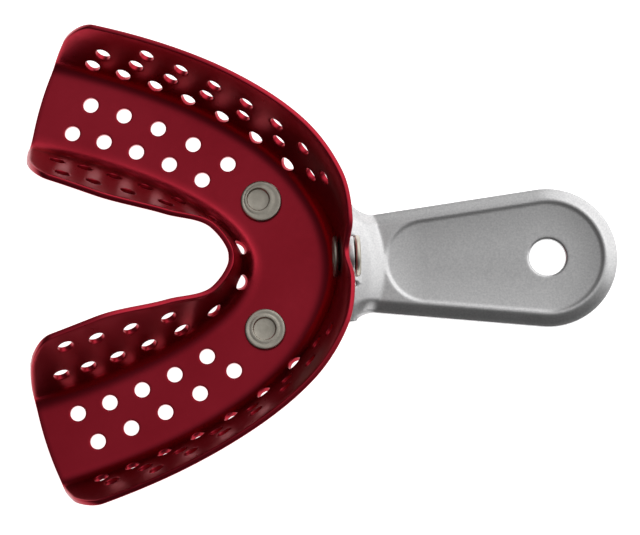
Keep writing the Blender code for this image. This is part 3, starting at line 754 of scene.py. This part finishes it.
def rivet_profile(seat, grip):
    """A rivet's outline from the middle of its head to the middle of its recess: (radius, height)."""
    top, bottom = seat + ROLLED_THICKNESS, -grip - HEAD_THICKNESS
    floor_height = top - RECESS_DEPTH
    head_centre = bottom + HEAD_CROWN + HEAD_CORNER
    recess_centre = floor_height + RECESS_CORNER
    profile = [(radius, bottom + height) for radius, height in HEAD_FACE]
    profile += arc_points(HEAD_RADIUS - HEAD_CORNER, head_centre, HEAD_CORNER, -90, 0, 6)
    profile += [(HEAD_RADIUS, -grip), (SHANK_RADIUS, -grip), (SHANK_RADIUS, seat)]
    profile += [(HEAD_RADIUS - ROLLED_BACKSET, seat)]
    profile += arc_points(HEAD_RADIUS - ROLLED_CORNER, top - ROLLED_CORNER, ROLLED_CORNER, -20, 90, 6)
    profile += [(radius, top + height) for radius, height in GROOVE]
    profile += arc_points(RECESS_RADIUS + LIP_CORNER, top - LIP_CORNER, LIP_CORNER, 90, 180, 4)
    profile += [(RECESS_RADIUS, recess_centre)]
    profile += arc_points(RECESS_RADIUS - RECESS_CORNER, recess_centre, RECESS_CORNER, 0, -90, 4)
    profile += [(RECESS_FLAT, floor_height), (0.0, floor_height)]
    return profile


def rivet_mesh(profile, recess_shift):
    """A semi-tubular rivet, turned about Z, with its clinched end up and its recess off centre."""
    vertices, faces, rows = [], [], []
    for radius, height in profile:
        shift = recess_shift * (1 - smooth_step(2.2, 3.1, radius)) if height > 0 else (0.0, 0.0)
        if radius == 0:
            rows.append([len(vertices)] * RIVET_SIDES)
            vertices.append((shift[0], shift[1], height))
            continue
        rows.append(list(range(len(vertices), len(vertices) + RIVET_SIDES)))
        for side in range(RIVET_SIDES):
            turn = 2 * math.pi * side / RIVET_SIDES
            x, y = radius * math.cos(turn) + shift[0], radius * math.sin(turn) + shift[1]
            vertices.append((x, y, height))
    for before, after in zip(rows, rows[1:]):
        for i in range(RIVET_SIDES):
            j = (i + 1) % RIVET_SIDES
            faces.append(list(dict.fromkeys((before[i], before[j], after[j], after[i]))))
    return np.array(vertices), faces


def placed(vertices, point, normal):
    """Vertices turned so that their Z runs along the normal, and moved to the point."""
    turn = Vector((0, 0, 1)).rotation_difference(Vector(normal)).to_matrix()
    return vertices @ np.array(turn).T + np.array(point)


def rivets(metal):
    """The two rivets through the floor and the one through the front flange."""
    grip = SHEET + PLATE + 2 * PLATE_GAP
    up = (0.0, 0.0, 1.0)
    point, normal = front_wall()
    hollow = HEAD_RADIUS**2 / (2 * (ARCH_RADIUS + point[0] - ARCH_FRONT))
    places = (
        ("rivet_left", (0, FLOOR_RIVET_Y, 0), up, RIVET_SEAT, (-0.5, 0.3)),
        ("rivet_right", (0, -FLOOR_RIVET_Y, 0), up, RIVET_SEAT, (-0.1, 0.1)),
        ("rivet_front", point, normal, RIVET_SEAT + hollow, (0.1, 0.0)),
    )
    for node, place, way, seat, shift in places:
        vertices, faces = rivet_mesh(rivet_profile(seat, grip), np.array(shift))
        made = mesh_object(node + "_formed", placed(vertices, place, way), faces)
        dress(made, metal, node)


# ---- materials -----------------------------------------------------------------------------


# The darker and the lighter shade of each metal.
RED_SHADES = ((0.33, 0.015, 0.028), (0.39, 0.021, 0.038))
SATIN_SHADES = ((0.52, 0.52, 0.525), (0.64, 0.635, 0.635))
RIVET_SHADES = ((0.46, 0.43, 0.365), (0.62, 0.58, 0.50))


def new_material(name):
    """A node material: (material, nodes, links, its shader, the object's coordinates)."""
    made = bpy.data.materials.new(name)
    made.use_nodes = True
    nodes, links = made.node_tree.nodes, made.node_tree.links
    shader = nodes["Principled BSDF"]
    coordinates = nodes.new("ShaderNodeTexCoord")
    return made, nodes, links, shader, coordinates.outputs["Object"]


def noise(nodes, links, coordinates, scale, detail=4.0):
    """A noise texture over the object, in features per metre."""
    texture = nodes.new("ShaderNodeTexNoise")
    texture.inputs["Scale"].default_value = scale
    texture.inputs["Detail"].default_value = detail
    links.new(coordinates, texture.inputs["Vector"])
    return texture.outputs["Fac"]


def ramp(nodes, links, value, stops):
    """A colour ramp over a value: stops are (place, colour)."""
    made = nodes.new("ShaderNodeValToRGB")
    while len(made.color_ramp.elements) < len(stops):
        made.color_ramp.elements.new(0.5)
    for element, (place, colour) in zip(made.color_ramp.elements, stops):
        element.position = place
        element.color = (*colour, 1.0)
    links.new(value, made.inputs["Fac"])
    return made.outputs["Color"]


def shaded(nodes, links, value, shades):
    """A metal's colour, between its two shades."""
    return ramp(nodes, links, value, [(0.3, shades[0]), (0.7, shades[1])])


def span(nodes, links, value, low, high):
    """A value from 0 to 1, taken to a new range."""
    made = nodes.new("ShaderNodeMapRange")
    made.inputs["To Min"].default_value = low
    made.inputs["To Max"].default_value = high
    links.new(value, made.inputs["Value"])
    return made.outputs["Result"]


def bump(nodes, links, shader, value, strength, distance):
    """Fine relief on a shader, its distance in metres."""
    made = nodes.new("ShaderNodeBump")
    made.inputs["Strength"].default_value = strength
    made.inputs["Distance"].default_value = distance
    links.new(value, made.inputs["Height"])
    links.new(made.outputs["Normal"], shader.inputs["Normal"])


def anodised_red():
    """Smooth anodised aluminium, slightly blotched."""
    made, nodes, links, shader, where = new_material("red_anodised")
    shader.inputs["Metallic"].default_value = 1.0
    blotches = noise(nodes, links, where, 60.0)
    links.new(shaded(nodes, links, blotches, RED_SHADES), shader.inputs["Base Color"])
    grain = noise(nodes, links, where, 900.0)
    links.new(span(nodes, links, grain, 0.24, 0.36), shader.inputs["Roughness"])
    bump(nodes, links, shader, grain, 0.08, 0.00005)
    return made


def satin_aluminium():
    """Blasted bare aluminium with a fine grain."""
    made, nodes, links, shader, where = new_material("satin_aluminium")
    shader.inputs["Metallic"].default_value = 1.0
    grain = noise(nodes, links, where, 3200.0, 2.0)
    links.new(shaded(nodes, links, grain, SATIN_SHADES), shader.inputs["Base Color"])
    clouds = noise(nodes, links, where, 300.0, 3.0)
    links.new(span(nodes, links, clouds, 0.28, 0.40), shader.inputs["Roughness"])
    bump(nodes, links, shader, grain, 0.15, 0.00004)
    return made


def rivet_aluminium():
    """Duller, warmer aluminium, clouded by the clinching tool."""
    made, nodes, links, shader, where = new_material("rivet_aluminium")
    shader.inputs["Metallic"].default_value = 1.0
    clouds = noise(nodes, links, where, 500.0)
    links.new(shaded(nodes, links, clouds, RIVET_SHADES), shader.inputs["Base Color"])
    grain = noise(nodes, links, where, 2500.0)
    links.new(span(nodes, links, grain, 0.3, 0.5), shader.inputs["Roughness"])
    bump(nodes, links, shader, grain, 0.2, 0.00006)
    return made


def dress(piece, metal, node):
    """Gives a piece its metal and sets it in place of the CAD node it stands for."""
    piece.data.materials.append(metal)
    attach(piece, "root")
    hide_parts(node)


# ---- the studio ----------------------------------------------------------------------------


# The floor, in metres: it glows fully out to FLOOR_LIT and least from FLOOR_FADED on. It lies just
# under the tray, so that the two don't share a plane.
FLOOR_HALF_SIZE = 3.0
FLOOR_LIT = 0.075
FLOOR_FADED = 0.14
FLOOR_GLOW = (1.05, 0.10)
FLOOR_DROP = 0.0004


def floor():
    """A white floor, lit evenly round the tray and dimmer far from it."""
    mesh = bpy.data.meshes.new("studio_floor")
    corners = [(x, y, 0) for x, y in ((-1, -1), (1, -1), (1, 1), (-1, 1))]
    mesh.from_pydata([Vector(c) * FLOOR_HALF_SIZE for c in corners], [], [(0, 1, 2, 3)])
    made = bpy.data.objects.new("studio_floor", mesh)
    bpy.context.scene.collection.objects.link(made)
    paint, nodes, links, shader, where = new_material("studio_floor")
    shader.inputs["Base Color"].default_value = (0.8, 0.8, 0.8, 1)
    shader.inputs["Roughness"].default_value = 0.9
    shader.inputs["Emission Color"].default_value = (1, 1, 1, 1)
    reach = nodes.new("ShaderNodeVectorMath")
    reach.operation = "LENGTH"
    links.new(where, reach.inputs[0])
    glow = span(nodes, links, reach.outputs["Value"], *FLOOR_GLOW)
    glow.node.inputs["From Min"].default_value = FLOOR_LIT
    glow.node.inputs["From Max"].default_value = FLOOR_FADED
    links.new(glow, shader.inputs["Emission Strength"])
    mesh.materials.append(paint)
    made.location = (0, 0, -FLOOR_DROP)


# The studio's brightness by direction: a dome round an axis, and a low glow from one side.
SKY_AXIS = Vector((0.38, 0.34, 0.86)).normalized()
SKY = ((0.0, 0.07), (0.35, 0.10), (0.60, 0.17), (0.78, 0.33), (0.92, 0.62), (1.0, 0.78))
GLOW_DIRECTION = Vector((0.78, 0.62, 0.0))
GLOW_START = 0.40
GLOW_FULL = 0.75
GLOW_STRENGTH = 1.15


def aligned(nodes, links, direction, axis):
    """How far a direction lies along an axis."""
    made = nodes.new("ShaderNodeVectorMath")
    made.operation = "DOT_PRODUCT"
    links.new(direction, made.inputs[0])
    made.inputs[1].default_value = axis
    return made.outputs["Value"]


def lights():
    """The dome and the low glow, as the world's background."""
    world = bpy.data.worlds.new("studio")
    bpy.context.scene.world = world
    world.use_nodes = True
    nodes, links = world.node_tree.nodes, world.node_tree.links
    direction = nodes.new("ShaderNodeTexCoord").outputs["Generated"]
    overhead = aligned(nodes, links, direction, SKY_AXIS)
    dome = ramp(nodes, links, overhead, [(place, (level,) * 3) for place, level in SKY])
    sideways = aligned(nodes, links, direction, GLOW_DIRECTION)
    glow = span(nodes, links, sideways, 0.0, GLOW_STRENGTH)
    glow.node.interpolation_type = "SMOOTHSTEP"
    glow.node.inputs["From Min"].default_value = GLOW_START
    glow.node.inputs["From Max"].default_value = GLOW_FULL
    total = nodes.new("ShaderNodeMixRGB")
    total.blend_type = "ADD"
    total.inputs["Fac"].default_value = 1.0
    links.new(dome, total.inputs["Color1"])
    links.new(glow, total.inputs["Color2"])
    links.new(total.outputs["Color"], nodes["Background"].inputs["Color"])
    nodes["Background"].inputs["Strength"].default_value = 1.0


# The camera's distance is in metres, and the point it looks at is in the tray's own layout.
CAMERA_DISTANCE = 0.45
CAMERA_TILT = math.radians(9.5)
CAMERA_ROLL = math.radians(2.05)
AIM = (9.64, -0.71, 0.0)
LENS = 148.8
SENSOR_WIDTH = 36.0


def camera():
    """Looks down at the tray, a little from its -Y side."""
    data = bpy.data.cameras.new("camera")
    data.lens = LENS
    data.sensor_width = SENSOR_WIDTH
    made = bpy.data.objects.new("camera", data)
    bpy.context.scene.collection.objects.link(made)
    back = Vector((0, -math.sin(CAMERA_TILT), math.cos(CAMERA_TILT)))
    level_up = Vector((0, math.cos(CAMERA_TILT), math.sin(CAMERA_TILT)))
    across = Vector((1, 0, 0))
    right = across * math.cos(CAMERA_ROLL) - level_up * math.sin(CAMERA_ROLL)
    up = across * math.sin(CAMERA_ROLL) + level_up * math.cos(CAMERA_ROLL)
    turn = Matrix((right, up, back)).transposed().to_4x4()
    made.matrix_world = Matrix.Translation(to_frame(AIM) + back * CAMERA_DISTANCE) @ turn
    bpy.context.scene.camera = made
    bpy.context.scene.view_settings.view_transform = "Standard"


# ---- building it ---------------------------------------------------------------------------

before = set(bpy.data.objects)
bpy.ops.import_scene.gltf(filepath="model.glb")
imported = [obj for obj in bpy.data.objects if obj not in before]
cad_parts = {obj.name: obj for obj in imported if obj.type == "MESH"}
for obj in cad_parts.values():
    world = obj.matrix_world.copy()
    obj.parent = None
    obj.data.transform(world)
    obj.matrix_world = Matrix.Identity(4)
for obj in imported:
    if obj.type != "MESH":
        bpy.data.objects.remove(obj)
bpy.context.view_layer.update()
left_low, left_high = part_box("rivet_left")
tray_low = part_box("tray_body")[0]
ORIGIN = Vector(((left_low.x + left_high.x) / 2, 0.0, tray_low.z + SHEET * MM))


def to_frame(point):
    """A point of the tray's own layout, in the frame's metres."""
    return ORIGIN + Vector(point) * MM


dress(tray_body(), anodised_red(), "tray_body")
dress(handle(), satin_aluminium(), "handle")
rivets(rivet_aluminium())
floor()
lights()
camera()
